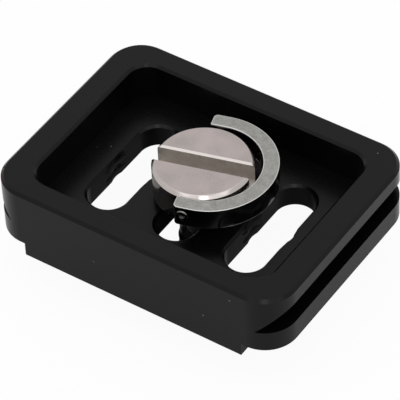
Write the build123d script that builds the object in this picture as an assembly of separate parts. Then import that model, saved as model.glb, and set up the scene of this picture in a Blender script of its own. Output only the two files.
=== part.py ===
from build123d import *
import math
import os

# A quick release plate for a tripod head, tripod side up, as it is when screwed to the base of a camera.
# X runs across the dovetail and Y along it, and Z points from the camera to the tripod.
# The origin is the middle of the camera seat. All sizes are in millimetres, and angles in degrees.

# Plate body, milled from one block of aluminium
plate_width = 38.0  # over the two dovetail flanges
plate_depth = 28.1  # along the dovetail
corner_radius = 4.0
rim_chamfer = 0.36  # outer edge of the tripod side

# Dovetail groove along each short side: a flat shoulder under a sloping flank
lower_flange = 2.65  # thickness of the flange on the camera side
dovetail_gap = 2.9  # mouth of the groove
dovetail_angle = 45.0  # slope of the flank
upper_flange = 2.0  # edge of the flange on the tripod side

# Recess for the screw head and its ring
end_rim = 3.5  # rim left at the short sides
side_rim = 2.95  # rim left at the long sides
recess_corner_radius = 2.5
recess_chamfer = 0.3  # inner edge of the rim
floor_thickness = 2.95

# Slots for the camera screw, each with a tapped middle for putting the screw in
slot_count = 3
slot_pitch = 9.2
slot_width = 4.9
slot_length = 14.6
slot_chamfer = 0.3
tapped_radius = 2.9  # between the crest and the root of the thread

# Lips that stand down from the camera side along the long sides
lip_height = 1.75
lip_thickness = 1.8
lip_end_inset = 4.6  # from the plate's short side to the end of a lip

# Rubber strips on the camera side
pad_proud = 0.3  # stands out past the lips
pad_width = 3.4
pad_length = 21.2
pad_end_inset = 2.2  # from the plate's short side to the strip
pad_corner_radius = 1.0
pad_edge_radius = 0.2

# Camera screw, turned from one bar: head, neck and thread
head_radius = 5.75
head_height = 4.35
head_chamfer = 0.4
head_foot_chamfer = 0.3
head_lift = 0.65  # the loose screw stands this far off the recess floor
neck_clearance = 0.2  # between the neck and each wall of its slot
thread_radius = 3.175  # quarter inch camera thread
thread_length = 4.7
thread_tip_chamfer = 0.8
coin_slot_width = 2.0
coin_slot_depth = 2.4
coin_slot_chamfer = 0.22
screw_offset = 0.65  # where the screw stands along its slot
screw_angle = 15.7  # where the coin slot and the folded ring point

# Folding ring, a straight-legged bow that lies round the head, level with its top
ring_gap = 0.15  # between the head and each leg
ring_band = 1.7
ring_bow_extra = 0.15  # the band is this much wider at the far end of the bow
ring_height = 2.7
ring_reach = 0.8  # from the pivot to the centre of the bow's inner edge
ring_overhang = 1.05  # leg left behind the pivot
ring_end_radius = 0.5
ring_edge = 0.12

# Pivot pins, fixed in the head and turning in the legs
pin_radius = 0.72
pin_drop = 1.2  # from the top of the head to the pivot
pin_seat = 2.4  # depth in the head
pin_proud = 0.12
pin_edge = 0.2
pin_dimple_radius = 0.36
pin_dimple_depth = 0.25
pin_seat_clearance = 0.01
pivot_clearance = 0.05

# Cutting tools reach this far past the faces that they open
cut_margin = 1.0

# Levels above the camera seat
flange_bottom = pad_proud + lip_height
shoulder_level = flange_bottom + lower_flange
flank_level = shoulder_level + dovetail_gap
rim_level = flank_level + upper_flange
floor_level = flange_bottom + floor_thickness
head_bottom = floor_level + head_lift
head_top = head_bottom + head_height
thread_top = head_bottom - floor_level
thread_tip = thread_top - thread_length
pivot_level = head_top - pin_drop

# Sizes that follow from the fits
neck_radius = slot_width / 2 - neck_clearance
ring_inner = head_radius + ring_gap
ring_outer = ring_inner + ring_band
pin_inner_end = head_radius - pin_seat
pin_outer_end = ring_outer + pin_proud

# The screw, its pins and its ring are drawn round Z with the coin slot along X, then set in the slot
screw_place = Pos(0, screw_offset, 0) * Rot(0, 0, screw_angle)


def slot_outline(grow):
    """One screw slot, seen from above, grown by this much on every side."""
    return Rot(0, 0, 90) * SlotOverall(slot_length + 2 * grow, slot_width + 2 * grow)


def slot_cutter():
    """One screw slot with its chamfered upper edge and its tapped middle."""
    depth = floor_thickness + 2 * cut_margin
    bottom = flange_bottom - cut_margin
    shaft = extrude(Pos(0, 0, bottom) * slot_outline(0), depth)
    flare_bottom = Pos(0, 0, floor_level - slot_chamfer) * slot_outline(0)
    flare_top = Pos(0, 0, floor_level + cut_margin) * slot_outline(slot_chamfer + cut_margin)
    flare = loft([flare_bottom, flare_top])
    tapped = extrude(Pos(0, 0, bottom) * Circle(tapped_radius), depth)
    return shaft + flare + tapped


def recess_cutter():
    """The recess in the tripod side, with a flat floor and upright walls."""
    length = plate_width - 2 * end_rim
    depth = plate_depth - 2 * side_rim
    outline = Pos(0, 0, floor_level) * RectangleRounded(length, depth, recess_corner_radius)
    return extrude(outline, rim_level - floor_level + cut_margin)


def dovetail_cutter(side):
    """The groove along one short side, with its flank rising outwards from the shoulder."""
    slope = 1 / math.tan(math.radians(dovetail_angle))
    edge = plate_width / 2
    section = Polyline(
        (side * (edge - dovetail_gap * slope), shoulder_level),
        (side * (edge + cut_margin * slope), shoulder_level),
        (side * (edge + cut_margin * slope), flank_level + cut_margin),
        close=True,
    )
    return extrude(Plane.XZ * make_face(section), plate_depth / 2 + cut_margin, both=True)


def plate_body():
    """The milled body: block, lips, recess, chamfered rim, dovetail grooves and slots."""
    outline = RectangleRounded(plate_width, plate_depth, corner_radius)
    body = extrude(Pos(0, 0, flange_bottom) * outline, rim_level - flange_bottom)
    lip_length = plate_width - 2 * lip_end_inset
    for side in (-1, 1):
        lip_middle = side * (plate_depth - lip_thickness) / 2
        lip_base = Pos(0, lip_middle, pad_proud) * Rectangle(lip_length, lip_thickness)
        body += extrude(lip_base, lip_height)
    body -= recess_cutter()
    body = chamfer(body.faces().sort_by(Axis.Z)[-1].outer_wire().edges(), rim_chamfer)
    body = chamfer(body.faces().sort_by(Axis.Z)[-1].inner_wires().edges(), recess_chamfer)
    for side in (-1, 1):
        body -= dovetail_cutter(side)
    for number in range(slot_count):
        body -= Pos((number - (slot_count - 1) / 2) * slot_pitch, 0, 0) * slot_cutter()
    return body


def rubber_pad(side):
    """A rubber strip glued to the camera side, near one short side."""
    middle = side * (plate_width / 2 - pad_end_inset - pad_width / 2)
    outline = Pos(middle, 0, 0) * RectangleRounded(pad_width, pad_length, pad_corner_radius)
    strip = extrude(outline, flange_bottom)
    return fillet(strip.faces().sort_by(Axis.Z)[0].edges(), pad_edge_radius)


def pivot_bore(side, radius, inner_end, outer_end):
    """A round bar along the pivot, from one distance off the screw's axis to another."""
    middle = side * (inner_end + outer_end) / 2
    return Pos(0, middle, pivot_level) * Rot(90, 0, 0) * Cylinder(radius, outer_end - inner_end)


def camera_screw():
    """The screw: a chamfered head with a coin slot, a neck that slides in the slot, and a threaded end."""
    half_profile = Polyline(
        (0, thread_tip),
        (thread_radius - thread_tip_chamfer, thread_tip),
        (thread_radius, thread_tip + thread_tip_chamfer),
        (thread_radius, thread_top - (thread_radius - neck_radius)),
        (neck_radius, thread_top),
        (neck_radius, head_bottom),
        (head_radius - head_foot_chamfer, head_bottom),
        (head_radius, head_bottom + head_foot_chamfer),
        (head_radius, head_top - head_chamfer),
        (head_radius - head_chamfer, head_top),
        (0, head_top),
        close=True,
    )
    screw = revolve(Plane.XZ * make_face(half_profile), Axis.Z)
    half_slot = coin_slot_width / 2
    flare = half_slot + coin_slot_chamfer + cut_margin
    slot_section = Polyline(
        (-half_slot, head_top - coin_slot_depth),
        (half_slot, head_top - coin_slot_depth),
        (half_slot, head_top - coin_slot_chamfer),
        (flare, head_top + cut_margin),
        (-flare, head_top + cut_margin),
        (-half_slot, head_top - coin_slot_chamfer),
        close=True,
    )
    screw -= extrude(Plane.YZ * make_face(slot_section), head_radius + cut_margin, both=True)
    for side in (-1, 1):
        seat_radius = pin_radius + pin_seat_clearance
        screw -= pivot_bore(side, seat_radius, pin_inner_end, head_radius + cut_margin)
    return screw_place * screw


def bow_outline(half_width, reach):
    """Two straight legs joined by a half circle, as a filled outline of this half width."""
    legs = Polyline(
        (reach, half_width),
        (-ring_overhang, half_width),
        (-ring_overhang, -half_width),
        (reach, -half_width),
    )
    return make_face(legs + CenterArc((reach, 0), half_width, -90, 180))


def d_ring():
    """The folding ring, lying flat round the head, with a bore for a pin in each leg."""
    band = bow_outline(ring_outer, ring_reach + ring_bow_extra) - bow_outline(ring_inner, ring_reach)
    ring = extrude(Pos(0, 0, head_top - ring_height) * band, ring_height)
    leg_ends = ring.edges().filter_by(Axis.Z).group_by(Axis.X)[0]
    ring = fillet(leg_ends.sort_by(lambda edge: abs(edge.center().Y))[-2:], ring_end_radius)
    flat_faces = ring.faces().filter_by(Axis.Z)
    ring = chamfer(flat_faces.edges(), ring_edge)
    for side in (-1, 1):
        bore_radius = pin_radius + pivot_clearance
        ring -= pivot_bore(side, bore_radius, ring_inner - cut_margin, ring_outer + cut_margin)
    return screw_place * ring


def pivot_pin(side):
    """A pin from its seat in the head to just outside the leg, with a dimpled end."""
    pin = pivot_bore(side, pin_radius, pin_inner_end, pin_outer_end)
    outer_face = pin.faces().filter_by(Axis.Y).sort_by(Axis.Y)[-1 if side > 0 else 0]
    pin = fillet(outer_face.edges(), pin_edge)
    pin -= pivot_bore(side, pin_dimple_radius, pin_outer_end - pin_dimple_depth, pin_outer_end + cut_margin)
    return screw_place * pin


pieces = {
    "plate_body": plate_body(),
    "rubber_pad_left": rubber_pad(-1),
    "rubber_pad_right": rubber_pad(1),
    "camera_screw": camera_screw(),
    "d_ring": d_ring(),
    "pivot_pin_front": pivot_pin(-1),
    "pivot_pin_rear": pivot_pin(1),
}

os.makedirs("parts", exist_ok=True)
for name, piece in pieces.items():
    export_step(piece, f"parts/{name}.step")
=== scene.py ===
"""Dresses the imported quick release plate: its body, rubber strips, camera screw, folding ring and pins."""

import logging
import math
from dataclasses import dataclass
from enum import Enum, IntEnum
from typing import Callable, Iterable, Sequence

import bmesh
import bpy
from mathutils import Matrix, Vector


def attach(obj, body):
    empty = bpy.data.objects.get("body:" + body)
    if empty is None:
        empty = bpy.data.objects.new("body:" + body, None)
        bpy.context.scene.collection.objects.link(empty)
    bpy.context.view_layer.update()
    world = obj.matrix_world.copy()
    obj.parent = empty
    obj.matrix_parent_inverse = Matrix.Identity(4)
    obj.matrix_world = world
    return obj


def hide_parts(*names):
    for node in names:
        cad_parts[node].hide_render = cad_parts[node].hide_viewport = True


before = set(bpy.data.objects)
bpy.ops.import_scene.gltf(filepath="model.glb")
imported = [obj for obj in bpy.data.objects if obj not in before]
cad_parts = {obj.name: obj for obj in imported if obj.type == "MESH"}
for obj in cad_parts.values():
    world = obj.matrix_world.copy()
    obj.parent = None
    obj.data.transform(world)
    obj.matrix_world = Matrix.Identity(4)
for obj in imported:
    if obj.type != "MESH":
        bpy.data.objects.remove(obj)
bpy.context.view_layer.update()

log = logging.getLogger("quick_release_plate")

Colour = tuple[float, float, float]
Point = tuple[float, float]
Socket = bpy.types.NodeSocket
Material = bpy.types.Material
Mesh = bmesh.types.BMesh
Vert = bmesh.types.BMVert
Edge = bmesh.types.BMEdge
Face = bmesh.types.BMFace

MM = 0.001  # meshes are modelled in millimetres and brought to metres at the end
MERGE = 0.0005  # vertices nearer than this, in millimetres, are one
PAST = 1.0  # how far a cutting tool reaches past what it cuts, in millimetres
FACING = 0.99  # a face looks along an axis where its normal's share along it is more than this
SPECK_RADIUS = 0.07  # a speck of dust, as a share of the cell that it lies in
BARE_CELLS = 0.94  # the share of cells that hold no speck


class Body(Enum):
    """The bodies that pieces ride on."""

    PLATE = "plate"
    SCREW = "screw"
    RING = "ring"


class Slot(Enum):
    """The record's material slots."""

    ANODISED = "anodised_body"
    SCREW = "screw_steel"
    RING = "ring_steel"
    PIN = "pin_steel"
    RUBBER = "rubber"


class Side(Enum):
    """Which of two twin pieces is meant."""

    LOW = -1
    HIGH = 1


class ScrewSurface(IntEnum):
    """The screw's finishes, in the order of its materials."""

    FACE = 0
    TURNED = 1
    # The neck's finish is painted shade: far darker than the head's steel, standing in for the shade under
    # the head.
    NECK = 2
    COIN_SLOT = 3
    # The thread's finish is dark steel, dimmed partly as painted shade where the plate shades it.
    THREAD = 4


class RingSurface(IntEnum):
    """The ring's finishes, in the order of its materials."""

    FACE = 0
    SIDE = 1
    # The edges' finish is paler than the faces and sides: a painted highlight along the rounded edges.
    EDGE = 2


class Wiring:
    """Adds nodes to one node tree and links them."""

    def __init__(self, owner: bpy.types.ID) -> None:
        """Opens a node tree.

        Args:
            owner: a node group, or a material or world, whose own nodes are cleared.
        """
        self.tree = owner
        if not isinstance(owner, bpy.types.NodeTree):
            owner.use_nodes = True
            owner.node_tree.nodes.clear()
            self.tree = owner.node_tree

    def node(self, kind: str, group: bpy.types.NodeTree | None = None, **inputs: object) -> bpy.types.Node:
        """Adds a node.

        Args:
            kind: the node's type name.
            group: the node group that it stands for, if any.
            inputs: values or output sockets for its inputs, with _ for a space in a socket's name.

        Returns:
            The new node.
        """
        made = self.tree.nodes.new(kind)
        if group:
            made.node_tree = group
        for name, value in inputs.items():
            self.feed(made.inputs[name.replace("_", " ")], value)
        return made

    def feed(self, socket: Socket, value: object) -> None:
        """Links an output socket to an input, or sets the input.

        Args:
            socket: the input.
            value: an output socket or a plain value.
        """
        if isinstance(value, Socket):
            self.tree.links.new(value, socket)
        else:
            socket.default_value = value

    def math(self, operation: str, *values: object) -> Socket:
        """Adds a Math node.

        Args:
            operation: what it works out.
            values: numbers or output sockets, in order.

        Returns:
            Its result.
        """
        made = self.tree.nodes.new("ShaderNodeMath")
        made.operation = operation
        for socket, value in zip(made.inputs, values):
            self.feed(socket, value)
        return made.outputs[0]

    def spread(self, mask: Socket, low: float, high: float) -> Socket:
        """Maps a mask of 0 to 1 onto low to high and returns the result."""
        return self.node("ShaderNodeMapRange", Value=mask, To_Min=low, To_Max=high).outputs[0]

    def noise(self, vector: Socket, scale: Socket, low: float, high: float, **inputs: float) -> Socket:
        """Adds a Noise texture and returns its values from low to high as a mask of 0 to 1."""
        made = self.node("ShaderNodeTexNoise", Vector=vector, Scale=scale, **inputs).outputs[0]
        return self.node("ShaderNodeMapRange", Value=made, From_Min=low, From_Max=high).outputs[0]

    def between(self, value: Socket, low: float, high: float) -> Socket:
        """Returns a mask that is 1 where a value lies between two limits."""
        above = self.math("GREATER_THAN", value, low)
        return self.math("MULTIPLY", above, self.math("LESS_THAN", value, high))

    def mingle(self, first: Socket, second: Socket, share: float) -> Socket:
        """Returns a mask made of two masks, of which the second has this share."""
        return self.math("MULTIPLY_ADD", second, share, self.math("MULTIPLY", first, 1 - share))

    def bump(self, height: Socket, strength: float, depth: float) -> Socket:
        """Adds a Bump node and returns its normal."""
        return self.node("ShaderNodeBump", Height=height, Strength=strength, Distance=depth).outputs[0]

    def blend(self, mask: Socket, first: object, second: object) -> Socket:
        """Mixes two colours.

        Args:
            mask: 0 for the first colour, 1 for the second.
            first: a colour or an output socket.
            second: a colour or an output socket.

        Returns:
            The mixed colour.
        """
        made = self.tree.nodes.new("ShaderNodeMix")
        made.data_type = "RGBA"
        self.feed(made.inputs["Factor"], mask)
        colours = [socket for socket in made.inputs if socket.type == "RGBA"]
        for socket, value in zip(colours, (first, second)):
            self.feed(socket, value if isinstance(value, Socket) else (*value, 1.0))
        return next(socket for socket in made.outputs if socket.type == "RGBA")


class Effect(Enum):
    """Effects that several finishes share, each a node group that is built once."""

    GRAIN = "fine_grain"
    MOTTLE = "soft_mottle"
    DUST = "dust_specks"
    STREAKS = "cutter_streaks"

    def group(self) -> bpy.types.NodeTree:
        """Builds this effect's node group the first time that it is asked for.

        Returns:
            The group.
        """
        found = bpy.data.node_groups.get(self.value)
        if found:
            return found
        tree = bpy.data.node_groups.new(self.value, "ShaderNodeTree")
        tree.interface.new_socket("Vector", in_out="INPUT", socket_type="NodeSocketVector")
        tree.interface.new_socket("Size", in_out="INPUT", socket_type="NodeSocketFloat")
        tree.interface.new_socket("Mask", in_out="OUTPUT", socket_type="NodeSocketFloat")
        wiring = Wiring(tree)
        source = wiring.node("NodeGroupInput")
        scale = wiring.math("DIVIDE", 1.0, source.outputs["Size"])
        mask = EFFECT_RECIPES[self](wiring, source.outputs["Vector"], scale)
        wiring.node("NodeGroupOutput", Mask=mask)
        return tree

    def place(self, wiring: Wiring, vector: Socket, size: float) -> Socket:
        """Puts the effect into a material, with marks of this size in metres, and returns its mask."""
        made = wiring.node("ShaderNodeGroup", self.group(), Vector=vector, Size=size)
        return made.outputs["Mask"]


def grain_recipe(wiring: Wiring, vector: Socket, scale: Socket) -> Socket:
    """Fine even grain, as blasting and anodising leave it; returns its mask."""
    return wiring.noise(vector, scale, low=0.28, high=0.72, Detail=3.0, Roughness=0.65)


def mottle_recipe(wiring: Wiring, vector: Socket, scale: Socket) -> Socket:
    """Broad soft patches with finer ones in them; returns their mask."""
    return wiring.noise(vector, scale, low=0.25, high=0.75, Detail=2.5, Roughness=0.45)


def dust_recipe(wiring: Wiring, vector: Socket, scale: Socket) -> Socket:
    """Scatters a few tiny specks with bare surface between them.

    Args:
        wiring: the group's tree.
        vector: the coordinates that the specks follow.
        scale: the number of cells to the metre.

    Returns:
        The specks' mask.
    """
    cells = wiring.node("ShaderNodeTexVoronoi", Vector=vector, Scale=scale)
    speck = wiring.math("LESS_THAN", cells.outputs["Distance"], SPECK_RADIUS)
    chosen = wiring.node("ShaderNodeSeparateColor", Color=cells.outputs["Color"])
    rare = wiring.math("GREATER_THAN", chosen.outputs[0], BARE_CELLS)
    return wiring.math("MULTIPLY", speck, rare)


def streak_recipe(wiring: Wiring, vector: Socket, scale: Socket) -> Socket:
    """Fine lines along X, as a milling cutter leaves them; returns their mask."""
    stretched = wiring.node("ShaderNodeMapping", Vector=vector, Scale=(0.04, 1.0, 0.04)).outputs[0]
    return wiring.noise(stretched, scale, low=0.3, high=0.7, Detail=2.0)


EFFECT_RECIPES: dict[Effect, Callable[[Wiring, Socket, Socket], Socket]] = {
    Effect.GRAIN: grain_recipe,
    Effect.MOTTLE: mottle_recipe,
    Effect.DUST: dust_recipe,
    Effect.STREAKS: streak_recipe,
}


def start_material(name: str) -> tuple[Material, Wiring, bpy.types.NodeInputs, Socket]:
    """Starts a node material.

    Args:
        name: the material's name.

    Returns:
        The material, its wiring, its Principled shader's inputs and its Object coordinates.
    """
    material = bpy.data.materials.new(name)
    wiring = Wiring(material)
    shader = wiring.node("ShaderNodeBsdfPrincipled")
    wiring.node("ShaderNodeOutputMaterial", Surface=shader.outputs[0])
    coordinates = wiring.node("ShaderNodeTexCoord").outputs["Object"]
    return material, wiring, shader.inputs, coordinates


@dataclass(frozen=True)
class AnodisedFinish:
    """Black anodised aluminium: a fine satin grain, a few specks of dust and a milled recess floor."""

    name: str = "black_anodised"
    deep: Colour = (0.0008, 0.0008, 0.0008)
    pale: Colour = (0.0026, 0.0026, 0.0026)
    dust: Colour = (0.16, 0.16, 0.155)
    smooth: float = 0.16
    rough: float = 0.28
    bump: float = 0.12
    bump_depth: float = 0.00002
    specular: float = 0.155
    grain_size: float = 0.00012
    dust_size: float = 0.0012
    streak_size: float = 0.00025
    streak_least: float = 0.7
    underside: float = 0.0021
    floor_low: float = 0.00495
    floor_high: float = 0.00505
    slots_half_width: float = 0.0123
    slots_half_length: float = 0.005
    edge_low: float = 0.00929
    edge_high: float = 0.00959
    edge_front: float = -0.01141
    edge_back: float = -0.01109
    floor_extra: float = 0.09
    slot_extra: float = 0.18
    edge_extra: float = 0.45

    def material(self) -> Material:
        """Builds the material.

        Returns:
            The material.
        """
        material, wiring, inputs, coordinates = start_material(self.name)
        grain = Effect.GRAIN.place(wiring, coordinates, self.grain_size)
        specks = Effect.DUST.place(wiring, coordinates, self.dust_size)
        colour = wiring.blend(grain, self.deep, self.pale)
        wiring.feed(inputs["Base Color"], wiring.blend(specks, colour, self.dust))
        rough = wiring.spread(grain, self.smooth, self.rough)
        marks = self.cutter_marks(wiring, coordinates)
        wiring.feed(inputs["Roughness"], wiring.math("ADD", rough, marks))
        wiring.feed(inputs["Normal"], wiring.bump(grain, self.bump, self.bump_depth))
        inputs["Specular IOR Level"].default_value = self.specular
        return material

    def cutter_marks(self, wiring: Wiring, coordinates: Socket) -> Socket:
        """Finds the places that the cutter has left rougher: recess floor, slot walls and front inner edge.

        Args:
            wiring: the material's tree.
            coordinates: its Object coordinates.

        Returns:
            How much rougher each place is.
        """
        streaks = Effect.STREAKS.place(wiring, coordinates, self.streak_size)
        streaks = wiring.spread(streaks, self.streak_least, 1.0)
        spot = wiring.node("ShaderNodeSeparateXYZ", Vector=coordinates).outputs
        on_floor = wiring.between(spot["Z"], self.floor_low, self.floor_high)
        in_slots = wiring.between(spot["Z"], self.underside, self.floor_low)
        across = wiring.between(spot["X"], -self.slots_half_width, self.slots_half_width)
        along = wiring.between(spot["Y"], -self.slots_half_length, self.slots_half_length)
        in_slots = wiring.math("MULTIPLY", in_slots, wiring.math("MULTIPLY", across, along))
        upper = wiring.between(spot["Z"], self.edge_low, self.edge_high)
        front = wiring.between(spot["Y"], self.edge_front, self.edge_back)
        on_edge = wiring.math("MULTIPLY", upper, front)
        extra = wiring.math("MULTIPLY", on_floor, self.floor_extra)
        extra = wiring.math("MULTIPLY_ADD", in_slots, self.slot_extra, extra)
        extra = wiring.math("MULTIPLY_ADD", on_edge, self.edge_extra, extra)
        return wiring.math("MULTIPLY", extra, streaks)


@dataclass(frozen=True)
class GrainedFinish:
    """Broad soft patches with a finer grain: plated steel, where nothing else is said."""

    name: str
    deep: Colour
    pale: Colour
    smooth: float
    rough: float
    mottle_size: float = 0.0012
    grain_size: float = 0.00012
    grain_in_colour: float = 0.5
    grain_in_gloss: float = 0.5
    bump: float = 0.05
    bump_depth: float = 0.00001
    metallic: float = 1.0
    specular: float = 0.5

    def material(self) -> Material:
        """Builds the material.

        Returns:
            The material.
        """
        material, wiring, inputs, coordinates = start_material(self.name)
        mottle = Effect.MOTTLE.place(wiring, coordinates, self.mottle_size)
        grain = Effect.GRAIN.place(wiring, coordinates, self.grain_size)
        tint = wiring.mingle(mottle, grain, self.grain_in_colour)
        gloss = wiring.mingle(mottle, grain, self.grain_in_gloss)
        wiring.feed(inputs["Base Color"], wiring.blend(tint, self.deep, self.pale))
        wiring.feed(inputs["Roughness"], wiring.spread(gloss, self.smooth, self.rough))
        wiring.feed(inputs["Normal"], wiring.bump(grain, self.bump, self.bump_depth))
        inputs["Metallic"].default_value = self.metallic
        inputs["Specular IOR Level"].default_value = self.specular
        return material


SCREW_STEELS: dict[ScrewSurface, GrainedFinish] = {
    ScrewSurface.FACE: GrainedFinish(
        "screw_face_steel", (0.345, 0.318, 0.302), (0.475, 0.402, 0.398), smooth=0.24, rough=0.34,
        mottle_size=0.0024, grain_size=0.00018, grain_in_colour=0.3, grain_in_gloss=0.3,
    ),
    ScrewSurface.TURNED: GrainedFinish(
        "screw_turned_steel", (0.42, 0.385, 0.37), (0.48, 0.44, 0.425), smooth=0.13, rough=0.20,
        mottle_size=0.0016, grain_size=0.00009, bump=0.03,
    ),
    # Painted shade: the neck is coloured near black for the shade that falls on it under the head.
    ScrewSurface.NECK: GrainedFinish(
        "screw_neck_painted_shade", (0.016, 0.016, 0.0155), (0.030, 0.030, 0.029), smooth=0.18, rough=0.28,
    ),
    ScrewSurface.COIN_SLOT: GrainedFinish(
        "screw_slot_steel", (0.40, 0.37, 0.342), (0.64, 0.595, 0.553), smooth=0.50, rough=0.66,
        mottle_size=0.0008, grain_size=0.0002, bump=0.10,
    ),
    # Dark steel, dimmed below the head's steel partly as painted shade.
    ScrewSurface.THREAD: GrainedFinish(
        "screw_thread_steel_partly_painted_shade", (0.060, 0.059, 0.057), (0.110, 0.108, 0.104), smooth=0.16, rough=0.26,
    ),
}
RING_STEELS: dict[RingSurface, GrainedFinish] = {
    RingSurface.FACE: GrainedFinish(
        "ring_face_steel", (0.20, 0.198, 0.184), (0.38, 0.375, 0.357), smooth=0.26, rough=0.40,
        mottle_size=0.0009, grain_size=0.00022, grain_in_colour=0.6, grain_in_gloss=0.6, bump=0.22,
    ),
    RingSurface.SIDE: GrainedFinish(
        "ring_side_steel", (0.27, 0.275, 0.27), (0.33, 0.335, 0.33), smooth=0.07, rough=0.12, bump=0.03,
    ),
    # Painted highlight: the rounded edges are made paler than the same steel on the faces and sides.
    RingSurface.EDGE: GrainedFinish(
        "ring_edge_steel_painted_highlight", (0.50, 0.495, 0.475), (0.62, 0.615, 0.595), smooth=0.14, rough=0.22,
        grain_size=0.00014,
    ),
}
PIN_STEEL = GrainedFinish(
    "pin_steel", (0.13, 0.13, 0.127), (0.20, 0.20, 0.196), smooth=0.16, rough=0.26,
    mottle_size=0.0006, grain_size=0.00009,
)
RUBBER = GrainedFinish(
    "black_rubber", (0.012, 0.012, 0.012), (0.026, 0.026, 0.026), smooth=0.6, rough=0.85,
    mottle_size=0.003, grain_size=0.00025, grain_in_colour=0.0, grain_in_gloss=1.0,
    bump=0.5, bump_depth=0.00004, metallic=0.0, specular=0.25,
)


def only(kind: type, items: Iterable[object]) -> list:
    """Returns the items of one kind, such as the vertices among what an operator has made."""
    return [item for item in items if isinstance(item, kind)]


def merge(bm: Mesh) -> None:
    """Makes one of vertices that lie in the same place."""
    bmesh.ops.remove_doubles(bm, verts=bm.verts, dist=MERGE)


def face_out(bm: Mesh) -> None:
    """Turns all faces of a shape outwards."""
    bmesh.ops.recalc_face_normals(bm, faces=bm.faces)


def loop_section(bm: Mesh, corners: Sequence[Sequence[float]]) -> Face:
    """Makes one flat face from its corners and returns it."""
    return bm.faces.new([bm.verts.new(corner) for corner in corners])


def push(bm: Mesh, face: Face, by: Sequence[float]) -> Face:
    """Extrudes a face.

    Args:
        bm: the mesh that holds it.
        face: the face to extrude.
        by: how far it goes, in millimetres.

    Returns:
        The face at the new end.
    """
    made = bmesh.ops.extrude_face_region(bm, geom=[face])["geom"]
    bmesh.ops.translate(bm, vec=by, verts=only(Vert, made))
    return only(Face, made)[0]


def spun(profile: Sequence[Point], steps: int, rise: float = 0.0) -> Mesh:
    """Turns a profile once round Z.

    Args:
        profile: points of radius and height.
        steps: how many sides the turned shape gets.
        rise: how far it climbs in that turn, as a thread does, in millimetres.

    Returns:
        The turned shape, closed where the profile ends on the axis.
    """
    bm = bmesh.new()
    points = [bm.verts.new((radius, 0, height)) for radius, height in profile]
    edges = [bm.edges.new(pair) for pair in zip(points, points[1:])]
    bmesh.ops.spin(
        bm, geom=points + edges, cent=(0, 0, 0), axis=(0, 0, 1), dvec=(0, 0, rise / steps),
        angle=math.tau, steps=steps, use_merge=not rise,
    )
    merge(bm)
    face_out(bm)
    return bm


def lay_down(bm: Mesh, side: Side, level: float) -> None:
    """Lays a turned shape along Y, with its upper end to this side, and lifts it to a level."""
    turn = Matrix.Rotation(-side.value * math.pi / 2, 4, "X")
    bm.transform(Matrix.Translation((0, 0, level)) @ turn)


def rounded(profile: Sequence[Point], radius: float, parts: int = 3) -> list[Point]:
    """Rounds the inner corners of an open profile.

    Args:
        profile: the profile's points.
        radius: how far along each line the rounding starts, in millimetres.
        parts: how many lines each rounding has.

    Returns:
        The rounded profile.
    """
    made = [profile[0]]
    for before, corner, after in zip(profile, profile[1:], profile[2:]):
        here = Vector(corner)
        start = here + (Vector(before) - here).normalized() * radius
        end = here + (Vector(after) - here).normalized() * radius
        for number in range(parts + 1):
            share = number / parts
            made.append(tuple(start.lerp(here, share).lerp(here.lerp(end, share), share)))
    return made + [profile[-1]]


def round_off(bm: Mesh, edges: Sequence[Edge], offset: float, segments: int) -> None:
    """Rounds edges, each from this far off, in millimetres, and with this many faces."""
    bmesh.ops.bevel(
        bm, geom=edges, offset=offset, affect="EDGES", segments=segments, profile=0.5, material=-1
    )


def bench_object(name: str, bm: Mesh) -> bpy.types.Object:
    """Makes a plain object.

    Args:
        name: its name.
        bm: its mesh, which is used up.

    Returns:
        The object.
    """
    mesh = bpy.data.meshes.new(name)
    bm.to_mesh(mesh)
    bm.free()
    made = bpy.data.objects.new(name, mesh)
    bpy.context.scene.collection.objects.link(made)
    return made


def carved(bm: Mesh, cutters: Iterable[Mesh]) -> Mesh:
    """Cuts shapes out of a shape.

    Args:
        bm: the shape, which is used up.
        cutters: the shapes to take away, which are used up.

    Returns:
        What is left of the first shape.
    """
    target = bench_object("carving", bm)
    tools = [bench_object("cutter", cutter) for cutter in cutters]
    for tool in tools:
        cut = target.modifiers.new("cut", "BOOLEAN")
        cut.operation = "DIFFERENCE"
        cut.solver = "EXACT"
        cut.object = tool
    bpy.context.view_layer.update()
    made = bmesh.new()
    made.from_mesh(target.evaluated_get(bpy.context.evaluated_depsgraph_get()).to_mesh())
    for scrap in (target, *tools):
        mesh = scrap.data
        bpy.data.objects.remove(scrap)
        bpy.data.meshes.remove(mesh)
    made = in_order(made)
    merge(made)
    return made


def in_order(bm: Mesh) -> Mesh:
    """Rebuilds a shape in the order of its places, because a cut leaves it in another order each time.

    Args:
        bm: the shape, which is used up.

    Returns:
        The same shape.
    """
    corners = sorted(bm.verts, key=lambda vert: vert.co[:])
    numbers = {vert: number for number, vert in enumerate(corners)}
    made = bmesh.new()
    verts = [made.verts.new(vert.co) for vert in corners]
    loops = []
    for face in bm.faces:
        around = [numbers[vert] for vert in face.verts]
        first = around.index(min(around))
        loops.append(around[first:] + around[:first])
    for loop in sorted(loops):
        made.faces.new([verts[number] for number in loop])
    bm.free()
    return made


def finished(
    name: str, bm: Mesh, place: Matrix, materials: Sequence[Material], body: Body,
    sharp: float = 32.0,
) -> bpy.types.Object:
    """Makes a piece of the part from a mesh in millimetres.

    Args:
        name: the piece's name.
        bm: its mesh, which is used up.
        place: where the mesh goes, in millimetres.
        materials: its materials, by the index that its faces carry.
        body: the body that it rides on.
        sharp: the angle, in degrees, from which an edge looks sharp.

    Returns:
        The piece.
    """
    bm.transform(Matrix.Scale(MM, 4) @ place)
    face_out(bm)
    piece = bench_object(name, bm)
    for material in materials:
        piece.data.materials.append(material)
    piece.data.shade_smooth()
    piece.data.set_sharp_from_angle(angle=math.radians(sharp))
    weighted = piece.modifiers.new("even_shading", "WEIGHTED_NORMAL")
    weighted.keep_sharp = True
    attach(piece, body.value)
    log.info("%s: %d faces", name, len(piece.data.polygons))
    return piece


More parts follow.
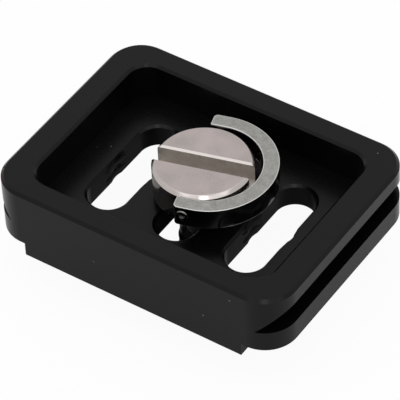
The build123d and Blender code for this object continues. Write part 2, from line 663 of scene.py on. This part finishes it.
@dataclass
class PlateBody:
    """The milled body, with the thread that is tapped into the middle of each slot."""

    slot_middles: tuple[float, ...] = (-9.2, 0.0, 9.2)
    slot_half_width: float = 2.45
    slot_chamfer_start: float = 4.7
    bore_radius: float = 2.9
    crest_radius: float = 2.62
    crest_width: float = 0.43
    crest_sweep: float = 34.0
    crest_sharp: float = 50.0
    sunk: float = 0.12
    root_radius: float = 3.17
    root_width: float = 0.16
    tap_radius: float = 2.3
    groove_sweep: float = 45.0
    flank_angle: float = 30.0
    pitch: float = 1.27
    first_turn: float = 2.85
    bottom: float = 2.05
    top: float = 4.98
    flat_angle: float = 0.3
    body_sharp: float = 22.0
    steps: int = 28

    def build(self, material: Material) -> None:
        """Puts a copy of the body, with the threads' grooves, in its node's place, and adds their crests.

        Args:
            material: the body's finish.
        """
        bm = carved(self.copied_body(), [self.tap(middle) for middle in self.slot_middles])
        flat = math.radians(self.flat_angle)
        bmesh.ops.dissolve_limit(bm, angle_limit=flat, verts=bm.verts, edges=bm.edges)
        piece = finished(
            "plate_body_milled", bm, Matrix.Identity(4), [material], Body.PLATE,
            sharp=self.body_sharp,
        )
        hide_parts("plate_body")
        for number, middle in enumerate(self.slot_middles, start=1):
            finished(
                f"tapped_thread_{number}", self.crests(), Matrix.Translation((middle, 0, 0)), [material],
                Body.PLATE, sharp=self.crest_sharp,
            )

    def copied_body(self) -> Mesh:
        """Copies the body's node without its stored normals, and merges its triangles.

        Returns:
            The copy, in millimetres.
        """
        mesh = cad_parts["plate_body"].data.copy()
        stored = mesh.attributes.get("custom_normal")
        if stored:
            mesh.attributes.remove(stored)
        bm = bmesh.new()
        bm.from_mesh(mesh)
        bpy.data.meshes.remove(mesh)
        bm.transform(Matrix.Scale(1 / MM, 4))
        merge(bm)
        return bm

    def turns(self) -> range:
        """Returns the numbers of the turns that reach the slot, the outer ones only in part."""
        return range(-1, math.ceil((self.top - self.bottom) / self.pitch) + 1)

    def tap(self, middle: float) -> Mesh:
        """Models the tool that cuts the grooves into both walls of one slot.

        Args:
            middle: the slot's place across the plate.

        Returns:
            The tool.
        """
        bm = bmesh.new()
        root, inner = self.root_radius, self.tap_radius
        half = self.root_width / 2
        wide = half + (root - inner) * math.tan(math.radians(self.flank_angle))
        section = [(root, -half), (inner, -wide), (inner, wide), (root, half)]
        for side in Side:
            for turn in self.turns():
                level = self.first_turn + (turn + 0.5) * self.pitch
                self.turn(bm, side, level, section, self.groove_sweep)
        face_out(bm)
        bmesh.ops.translate(bm, verts=bm.verts, vec=(middle, 0, 0))
        return bm

    def crests(self) -> Mesh:
        """Models the crests of the thread's turns on both walls of one slot.

        Returns:
            The crests.
        """
        both = bmesh.new()
        base, crest = self.bore_radius + self.sunk, self.crest_radius
        half = self.crest_width / 2
        wide = half + (base - crest) * math.tan(math.radians(self.flank_angle))
        section = [(base, -wide), (crest, -half), (crest, half), (base, wide)]
        for side in Side:
            wall = bmesh.new()
            for turn in self.turns():
                self.turn(wall, side, self.first_turn + turn * self.pitch, section, self.crest_sweep)
            self.trim(wall, side)
            mesh = bpy.data.meshes.new("crests")
            wall.to_mesh(mesh)
            wall.free()
            both.from_mesh(mesh)
            bpy.data.meshes.remove(mesh)
        return both

    def turn(self, bm: Mesh, side: Side, level: float, section: Sequence[Point], sweep: float) -> None:
        """Adds the stretch of one turn that runs along one wall.

        Args:
            bm: the mesh that it goes into.
            side: which wall.
            level: the turn's height where the helix starts, in millimetres.
            section: the corners of its section, as radius and height above the turn's middle.
            sweep: how far it runs to each side of the wall's middle, in degrees.
        """
        start = math.radians(-sweep + (0 if side is Side.HIGH else 180))
        middle = level + self.pitch * start / math.tau
        face = loop_section(bm, [(radius, 0, middle + height) for radius, height in section])
        bmesh.ops.rotate(bm, verts=face.verts, cent=(0, 0, 0), matrix=Matrix.Rotation(start, 3, "Z"))
        angle = 2 * math.radians(sweep)
        rise = self.pitch * angle / math.tau / self.steps
        bmesh.ops.spin(
            bm, geom=[face, *face.edges, *face.verts], cent=(0, 0, 0), axis=(0, 0, 1),
            dvec=(0, 0, rise), angle=angle, steps=self.steps,
        )

    def trim(self, bm: Mesh, side: Side) -> None:
        """Cuts the turns on one wall off at the slot's faces, wall and chamfer, and closes the cuts.

        Args:
            bm: the mesh that holds the turns.
            side: which wall.
        """
        wall = side.value * self.slot_half_width
        cuts = [
            ((0, 0, self.bottom), (0, 0, -1)),
            ((0, 0, self.top), (0, 0, 1)),
            ((wall, 0, 0), (-side.value, 0, 0)),
            ((wall, 0, self.slot_chamfer_start), (-side.value, 0, 1)),
        ]
        for spot, outwards in cuts:
            bmesh.ops.bisect_plane(
                bm, geom=[*bm.verts, *bm.edges, *bm.faces], dist=MERGE, plane_co=spot, plane_no=outwards,
                clear_outer=True,
            )
            bmesh.ops.edgeloop_fill(bm, edges=[edge for edge in bm.edges if edge.is_boundary])


@dataclass
class RubberStrip:
    """A moulded strip on the camera side, with a row of shallow pockets in its face."""

    side: Side
    middle: float = 15.1
    width: float = 3.4
    length: float = 21.2
    height: float = 2.05
    corner_radius: float = 1.0
    corner_segments: int = 6
    edge_radius: float = 0.2
    edge_segments: int = 3
    pockets: int = 9
    pocket_margin: float = 0.35
    pocket_wall: float = 0.12
    pocket_depth: float = 0.25

    @property
    def name(self) -> str:
        """The strip's node name."""
        return f"rubber_pad_{'left' if self.side is Side.LOW else 'right'}"

    def build(self, material: Material) -> None:
        """Models the strip, and puts it in its node's place.

        Args:
            material: the strip's finish.
        """
        bm = bmesh.new()
        across, along = self.width / 2, self.length / 2
        corners = [(-across, -along, 0), (-across, along, 0), (across, along, 0), (across, -along, 0)]
        push(bm, loop_section(bm, corners), (0, 0, self.height))
        upright = [edge for edge in bm.edges if edge.verts[0].co.z != edge.verts[1].co.z]
        round_off(bm, upright, self.corner_radius, self.corner_segments)
        face_out(bm)
        outer = [edge for edge in bm.edges if all(vert.co.z < MERGE for vert in edge.verts)]
        round_off(bm, outer, self.edge_radius, self.edge_segments)
        self.press_pockets(bm)
        place = Matrix.Translation((self.side.value * self.middle, 0, 0))
        piece = finished(f"{self.name}_moulded", bm, place, [material], Body.PLATE)
        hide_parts(self.name)

    def press_pockets(self, bm: Mesh) -> None:
        """Presses the row of pockets into the strip's outer face.

        Args:
            bm: the strip.
        """
        span = self.length - 2 * self.corner_radius
        for number in range(self.pockets + 1):
            at = (0, span * (number / self.pockets - 0.5), 0)
            flat = [face for face in bm.faces if face.normal.z < -FACING]
            parts = dict.fromkeys(part for face in flat for part in (face, *face.edges, *face.verts))
            bmesh.ops.bisect_plane(bm, geom=list(parts), dist=MERGE, plane_co=at, plane_no=(0, 1, 0))
        bm.normal_update()
        panes = [
            face for face in bm.faces
            if face.normal.z < -FACING and abs(face.calc_center_median().y) < span / 2 - MERGE
        ]
        bmesh.ops.inset_individual(bm, faces=panes, thickness=self.pocket_margin, depth=0)
        bmesh.ops.inset_individual(bm, faces=panes, thickness=self.pocket_wall, depth=-self.pocket_depth)


@dataclass
class ScrewPlace:
    """Where the camera screw stands in its slot, and how far it is turned."""

    offset: float = 0.65
    angle: float = 15.7

    def matrix(self) -> Matrix:
        """Returns the place of everything that is drawn round the screw's axis."""
        turn = Matrix.Rotation(math.radians(self.angle), 4, "Z")
        return Matrix.Translation((0, self.offset, 0)) @ turn


@dataclass
class CameraScrew:
    """The turned screw: a coin-slotted head, a neck and a quarter inch camera thread."""

    place: Matrix
    head_radius: float = 5.75
    head_bottom: float = 5.65
    head_top: float = 10.0
    head_chamfer: float = 0.4
    foot_chamfer: float = 0.3
    edge_round: float = 0.03
    neck_radius: float = 2.25
    neck_start: float = 1.2
    thread_radius: float = 3.175
    root_radius: float = 2.49
    thread_top: float = 0.65
    thread_tip: float = -4.05
    tip_chamfer: float = 0.8
    pitch: float = 1.27
    tooth_parts: int = 4
    coin_slot_width: float = 2.0
    coin_slot_depth: float = 2.4
    coin_slot_chamfer: float = 0.22
    steps: int = 96

    def build(self, materials: Sequence[Material]) -> None:
        """Models the screw and puts it in its node's place.

        Args:
            materials: its finishes, in the order of ScrewSurface.
        """
        bm = self.threaded_end()
        self.raise_head(bm)
        bm = carved(bm, [self.coin_slot()])
        bm.normal_update()
        for face in bm.faces:
            face.material_index = self.surface_of(face)
        piece = finished("camera_screw_turned", bm, self.place, materials, Body.SCREW)
        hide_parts("camera_screw")

    def surface_of(self, face: Face) -> ScrewSurface:
        """Says which of the screw's surfaces a face belongs to.

        Args:
            face: a face of the screw.

        Returns:
            The surface.
        """
        spot = face.calc_center_median()
        if spot.z < self.thread_top:
            return ScrewSurface.THREAD
        # The neck above the thread gets the painted shade finish.
        if spot.z < self.head_bottom + MERGE:
            return ScrewSurface.NECK
        if spot.z > self.head_top - MERGE:
            return ScrewSurface.FACE
        floor = self.head_top - self.coin_slot_depth
        shoulder = self.head_top - self.coin_slot_chamfer
        in_slot = abs(spot.y) < self.coin_slot_width / 2 + MERGE and floor - MERGE < spot.z < shoulder
        return ScrewSurface.COIN_SLOT if in_slot else ScrewSurface.TURNED

    def tooth(self, level: float) -> list[Point]:
        """Draws one tooth of the thread.

        Args:
            level: where it starts, in millimetres.

        Returns:
            Its points, as radius and height, from this level up.
        """
        crest, root = self.pitch / 8, self.pitch / 4
        flank = (self.pitch - crest - root) / 2
        marks = [
            (self.root_radius, 0.0),
            (self.root_radius, root),
            (self.thread_radius, root + flank),
            (self.thread_radius, root + flank + crest),
            (self.root_radius, self.pitch),
        ]
        points = []
        for (radius, height), (next_radius, next_height) in zip(marks, marks[1:]):
            for part in range(self.tooth_parts):
                share = part / self.tooth_parts
                across = radius + (next_radius - radius) * share
                points.append((across, level + height + (next_height - height) * share))
        return points

    def threaded_end(self) -> Mesh:
        """Models the thread with its chamfered tip and the start of the neck.

        Returns:
            The threaded end, open at the neck.
        """
        low = self.thread_tip - 2 * self.pitch
        teeth = math.ceil((self.neck_start - low) / self.pitch) + 1
        points = [point for number in range(teeth) for point in self.tooth(low + number * self.pitch)]
        bm = spun(points, self.steps, rise=self.pitch)
        for vert in bm.verts:
            self.cut_to_shape(vert)
        merge(bm)
        bmesh.ops.dissolve_degenerate(bm, edges=bm.edges, dist=MERGE)
        open_edges = [edge for edge in bm.edges if edge.is_boundary]
        tip = [edge for edge in open_edges if edge.verts[0].co.z < self.thread_tip + MERGE]
        bmesh.ops.edgeloop_fill(bm, edges=tip)
        return bm

    def cut_to_shape(self, vert: Vert) -> None:
        """Moves a vertex of the endless thread in to the tip, chamfer or neck that it stands outside.

        Args:
            vert: the vertex.
        """
        height = min(max(vert.co.z, self.thread_tip), self.neck_start)
        most = min(
            self.thread_radius - self.tip_chamfer + height - self.thread_tip,
            self.neck_radius + max(self.thread_top - height, 0),
        )
        radius = vert.co.xy.length
        share = min(radius, most) / radius
        vert.co = (vert.co.x * share, vert.co.y * share, height)

    def raise_head(self, bm: Mesh) -> None:
        """Draws the open end of the neck up into the head, and closes it.

        Args:
            bm: the threaded end.
        """
        outline = [
            (self.neck_radius, self.neck_start),
            (self.neck_radius, self.head_bottom),
            (self.head_radius - self.foot_chamfer, self.head_bottom),
            (self.head_radius, self.head_bottom + self.foot_chamfer),
            (self.head_radius, self.head_top - self.head_chamfer),
            (self.head_radius - self.head_chamfer, self.head_top),
            (self.head_radius / 2, self.head_top),
        ]
        rim = [edge for edge in bm.edges if edge.is_boundary and edge.verts[0].co.z > self.thread_top]
        for radius, height in rounded(outline, self.edge_round)[1:]:
            made = bmesh.ops.extrude_edge_only(bm, edges=rim)["geom"]
            rim = only(Edge, made)
            for vert in only(Vert, made):
                spot = vert.co.xy.normalized() * radius
                vert.co = (spot.x, spot.y, height)
        bmesh.ops.edgeloop_fill(bm, edges=rim)
        face_out(bm)

    def coin_slot(self) -> Mesh:
        """Models the tool that cuts the coin slot.

        Returns:
            The tool.
        """
        bm = bmesh.new()
        reach = self.head_radius + PAST
        half = self.coin_slot_width / 2
        floor = self.head_top - self.coin_slot_depth
        shoulder = self.head_top - self.coin_slot_chamfer
        above = self.coin_slot_chamfer + PAST
        outline = [
            (-half, floor), (half, floor), (half, shoulder),
            (half + above, shoulder + above), (-half - above, shoulder + above), (-half, shoulder),
        ]
        face = loop_section(bm, [(-reach, across, height) for across, height in outline])
        push(bm, face, (2 * reach, 0, 0))
        face_out(bm)
        return bm


@dataclass
class PivotPin:
    """One of the two pins that the ring turns on, with a domed and dimpled outer end."""

    place: Matrix
    side: Side
    radius: float = 0.72
    level: float = 8.8
    inner_end: float = 3.35
    outer_end: float = 7.72
    rim: float = 0.12
    dish_radius: float = 0.5
    dish_depth: float = 0.05
    dimple_radius: float = 0.36
    dimple_depth: float = 0.25
    corner_round: float = 0.05
    corner_parts: int = 4
    steps: int = 48

    @property
    def name(self) -> str:
        """The pin's node name."""
        return f"pivot_pin_{'front' if self.side is Side.LOW else 'rear'}"

    def build(self, material: Material) -> None:
        """Models the pin and puts it in its node's place.

        Args:
            material: the pin's finish.
        """
        outline = [
            (0.0, self.inner_end),
            (self.radius, self.inner_end),
            (self.radius, self.outer_end - self.rim),
            (self.radius - self.rim, self.outer_end),
            (self.dish_radius, self.outer_end - self.dish_depth),
            (self.dimple_radius, self.outer_end - self.dish_depth),
            (self.dimple_radius, self.outer_end - self.dimple_depth),
            (0.0, self.outer_end - self.dimple_depth),
        ]
        bm = spun(rounded(outline, self.corner_round, self.corner_parts), self.steps)
        lay_down(bm, self.side, self.level)
        piece = finished(f"{self.name}_turned", bm, self.place, [material], Body.SCREW)
        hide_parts(self.name)


@dataclass
class FoldingRing:
    """The bow round the screw's head: satin faces, polished sides, edges made paler as a painted highlight,
    and a bore in each leg.
    """

    place: Matrix
    inner: float = 5.9
    outer: float = 7.6
    bottom: float = 7.3
    top: float = 10.0
    reach: float = 0.8
    bow_extra: float = 0.15
    overhang: float = 1.05
    end_radius: float = 0.5
    end_segments: int = 5
    edge: float = 0.12
    edge_segments: int = 2
    edge_angle: float = 60.0
    side_slope: float = 0.1
    bore_radius: float = 0.77
    bore_level: float = 8.8
    bore_steps: int = 40
    steps: int = 64

    def build(self, materials: Sequence[Material]) -> None:
        """Models the ring and puts it in its node's place.

        Args:
            materials: its finishes, in the order of RingSurface.
        """
        bm = self.bow()
        self.round_edges(bm)
        bm = carved(bm, [self.bore_cutter()])
        bm.normal_update()
        for face in bm.faces:
            face.material_index = self.surface_of(face)
        piece = finished("d_ring_bow", bm, self.place, materials, Body.RING)
        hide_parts("d_ring")

    def surface_of(self, face: Face) -> RingSurface:
        """Says which of the ring's surfaces a face belongs to.

        Args:
            face: a face of the ring.

        Returns:
            The surface.
        """
        spot = face.calc_center_median()
        slope = abs(face.normal.z)
        if slope > FACING:
            return RingSurface.FACE
        on_bore = math.hypot(spot.x, spot.z - self.bore_level) < self.bore_radius
        # Sloped faces on the rounded edges get the painted highlight finish.
        return RingSurface.SIDE if on_bore or slope < self.side_slope else RingSurface.EDGE

    def bow(self) -> Mesh:
        """Draws the ring's section along one leg, round the bow and back along the other leg.

        Returns:
            The plain bow.
        """
        bm = bmesh.new()
        section = [
            (-self.outer, self.bottom), (-self.inner, self.bottom),
            (-self.inner, self.top), (-self.outer, self.top),
        ]
        face = loop_section(bm, [(-self.overhang, across, height) for across, height in section])
        run = self.overhang + self.reach
        face = push(bm, face, (run, 0, 0))
        made = bmesh.ops.spin(
            bm, geom=[face], cent=(self.reach, 0, 0), axis=(0, 0, 1), angle=math.pi, steps=self.steps
        )["geom_last"]
        push(bm, only(Face, made)[0], (-run, 0, 0))
        merge(bm)
        walls = [face for face in bm.faces if not any(edge.is_manifold for edge in face.edges)]
        bmesh.ops.delete(bm, geom=walls, context="FACES_ONLY")
        middle = (self.inner + self.outer) / 2
        outer_arc = [
            vert for vert in bm.verts
            if vert.co.x > self.reach - MERGE and math.hypot(vert.co.x - self.reach, vert.co.y) > middle
        ]
        bmesh.ops.translate(bm, verts=outer_arc, vec=(self.bow_extra, 0, 0))
        face_out(bm)
        return bm

    def round_edges(self, bm: Mesh) -> None:
        """Rounds the outer corners of the leg ends, then every long edge.

        Args:
            bm: the plain bow.
        """
        ends = [
            edge for edge in bm.edges
            if all(
                vert.co.x < MERGE - self.overhang and abs(vert.co.y) > self.outer - MERGE
                for vert in edge.verts
            )
        ]
        round_off(bm, ends, self.end_radius, self.end_segments)
        least = math.radians(self.edge_angle)
        sharp = [edge for edge in bm.edges if edge.is_manifold and edge.calc_face_angle() > least]
        round_off(bm, sharp, self.edge, self.edge_segments)

    def bore_cutter(self) -> Mesh:
        """Models the tool that bores both legs.

        Returns:
            The tool.
        """
        far = self.outer + PAST
        outline = [(0, -far), (self.bore_radius, -far), (self.bore_radius, far), (0, far)]
        bm = spun(outline, self.bore_steps)
        lay_down(bm, Side.LOW, self.bore_level)
        return bm


def view_axes(azimuth: float, elevation: float) -> tuple[Vector, Vector, Vector]:
    """Works out the directions of a view of the part.

    Args:
        azimuth: where the view is from, in degrees round the part.
        elevation: how high it is from, in degrees.

    Returns:
        Its right, up and back directions.
    """
    around, above = math.radians(azimuth), math.radians(elevation)
    level = math.cos(above)
    back = Vector((math.sin(around) * level, -math.cos(around) * level, math.sin(above)))
    right = Vector((math.cos(around), math.sin(around), 0))
    return right, back.cross(right), back


@dataclass(frozen=True)
class Lamp:
    """A soft oblong lamp that points at the part, with angles in degrees and lengths in metres."""

    name: str
    azimuth: float
    elevation: float
    distance: float
    width: float
    height: float
    watts: float

    def hang(self) -> None:
        """Hangs the lamp."""
        data = bpy.data.lights.new(self.name, "AREA")
        data.shape = "RECTANGLE"
        data.energy = self.watts
        data.size = self.width
        data.size_y = self.height
        right, up, back = view_axes(self.azimuth, self.elevation)
        lamp = bpy.data.objects.new(self.name, data)
        turn = Matrix((right, up, back)).transposed().to_4x4()
        lamp.matrix_world = Matrix.Translation(back * self.distance) @ turn
        bpy.context.scene.collection.objects.link(lamp)


LAMPS = (
    Lamp("glint_lamp", azimuth=33.0, elevation=45.0, distance=0.45, width=0.11, height=0.1, watts=0.085),
    Lamp("left_lamp", azimuth=-3.0, elevation=42.0, distance=0.6, width=0.3, height=0.3, watts=0.11),
    Lamp("front_lamp", azimuth=60.0, elevation=43.0, distance=0.6, width=0.5, height=0.14, watts=0.14),
    Lamp("side_lamp", azimuth=110.0, elevation=68.0, distance=0.8, width=0.8, height=0.8, watts=0.7),
    Lamp("top_lamp", azimuth=-40.0, elevation=72.0, distance=0.9, width=1.0, height=1.0, watts=1.4),
)


@dataclass
class Studio:
    """A pale floor, an even white surround, soft lamps and the camera."""

    floor_level: float = -0.0041
    floor_size: float = 4.0
    floor_colour: Colour = (0.94, 0.94, 0.94)
    floor_glow: float = 0.94
    surround_colour: Colour = (1.0, 1.0, 1.0)
    surround_for_light: float = 0.65
    camera_azimuth: float = 36.0
    camera_elevation: float = 44.858
    camera_roll: float = 3.067
    camera_distance: float = 0.36866
    camera_aim: Point = (0.000325, -0.002961)
    camera_lift: float = 0.0003
    camera_lens: float = 295.46
    camera_sensor: float = 36.0
    camera_near: float = 0.01
    camera_far: float = 20.0

    def build(self) -> None:
        """Sets up everything round the part."""
        bpy.context.scene.view_settings.view_transform = "Standard"
        self.surround()
        self.floor()
        self.camera()
        for lamp in LAMPS:
            lamp.hang()

    def surround(self) -> None:
        """Makes the world white to the eye, in mirrors and through glass, and a softer light elsewhere."""
        world = bpy.data.worlds.new("white_surround")
        bpy.context.scene.world = world
        wiring = Wiring(world)
        path = wiring.node("ShaderNodeLightPath").outputs
        direct = wiring.math("MAXIMUM", path["Is Camera Ray"], path["Is Glossy Ray"])
        seen = wiring.math("MAXIMUM", direct, path["Is Transmission Ray"])
        strength = wiring.spread(seen, self.surround_for_light, 1.0)
        light = wiring.node("ShaderNodeBackground", Color=(*self.surround_colour, 1.0), Strength=strength)
        wiring.node("ShaderNodeOutputWorld", Surface=light.outputs[0])

    def floor(self) -> None:
        """Lays the floor under the screw's tip."""
        bm = bmesh.new()
        bmesh.ops.create_grid(bm, x_segments=2, y_segments=2, size=self.floor_size / 2)
        bmesh.ops.translate(bm, verts=bm.verts, vec=(0, 0, self.floor_level))
        floor = bench_object("studio_floor", bm)
        floor.data.materials.append(self.floor_material())

    def floor_material(self) -> Material:
        """Builds a floor that is white with the part's soft shadow from above, and clear from below.

        Returns:
            The material.
        """
        material = bpy.data.materials.new("studio_floor")
        wiring = Wiring(material)
        paper = wiring.node("ShaderNodeBsdfDiffuse", Color=(*self.floor_colour, 1.0))
        glow = wiring.node("ShaderNodeEmission")
        clear = wiring.node("ShaderNodeBsdfTransparent")
        path = wiring.node("ShaderNodeLightPath").outputs
        direct = wiring.math("MAXIMUM", path["Is Camera Ray"], path["Is Transmission Ray"])
        mixed = wiring.node("ShaderNodeMixShader", Fac=wiring.math("MULTIPLY", direct, self.floor_glow))
        wiring.feed(mixed.inputs[1], paper.outputs[0])
        wiring.feed(mixed.inputs[2], glow.outputs[0])
        below = wiring.node("ShaderNodeNewGeometry").outputs["Backfacing"]
        one_sided = wiring.node("ShaderNodeMixShader", Fac=below)
        wiring.feed(one_sided.inputs[1], mixed.outputs[0])
        wiring.feed(one_sided.inputs[2], clear.outputs[0])
        wiring.node("ShaderNodeOutputMaterial", Surface=one_sided.outputs[0])
        return material

    def camera(self) -> None:
        """Puts the camera where the photograph was taken from."""
        right, up, back = view_axes(self.camera_azimuth, self.camera_elevation)
        roll = math.radians(self.camera_roll)
        across = right * math.cos(roll) - up * math.sin(roll)
        along = right * math.sin(roll) + up * math.cos(roll)
        spot = back * self.camera_distance - across * self.camera_aim[0] - along * self.camera_aim[1]
        spot.z += self.camera_lift
        data = bpy.data.cameras.new("photo_camera")
        data.lens = self.camera_lens
        data.sensor_width = self.camera_sensor
        data.clip_start = self.camera_near
        data.clip_end = self.camera_far
        camera = bpy.data.objects.new("photo_camera", data)
        turn = Matrix((across, along, back)).transposed().to_4x4()
        camera.matrix_world = Matrix.Translation(spot) @ turn
        bpy.context.scene.collection.objects.link(camera)
        bpy.context.scene.camera = camera


def main() -> None:
    """Builds the pieces in order, sets up the studio and logs each piece's number of faces."""
    logging.basicConfig(level=logging.INFO, format="%(name)s %(message)s")
    place = ScrewPlace().matrix()
    pin_steel = PIN_STEEL.material()
    rubber = RUBBER.material()
    PlateBody().build(AnodisedFinish().material())
    CameraScrew(place).build([SCREW_STEELS[surface].material() for surface in ScrewSurface])
    FoldingRing(place).build([RING_STEELS[surface].material() for surface in RingSurface])
    for side in Side:
        PivotPin(place, side).build(pin_steel)
        RubberStrip(side).build(rubber)
    Studio().build()


if __name__ == "__main__":
    main()
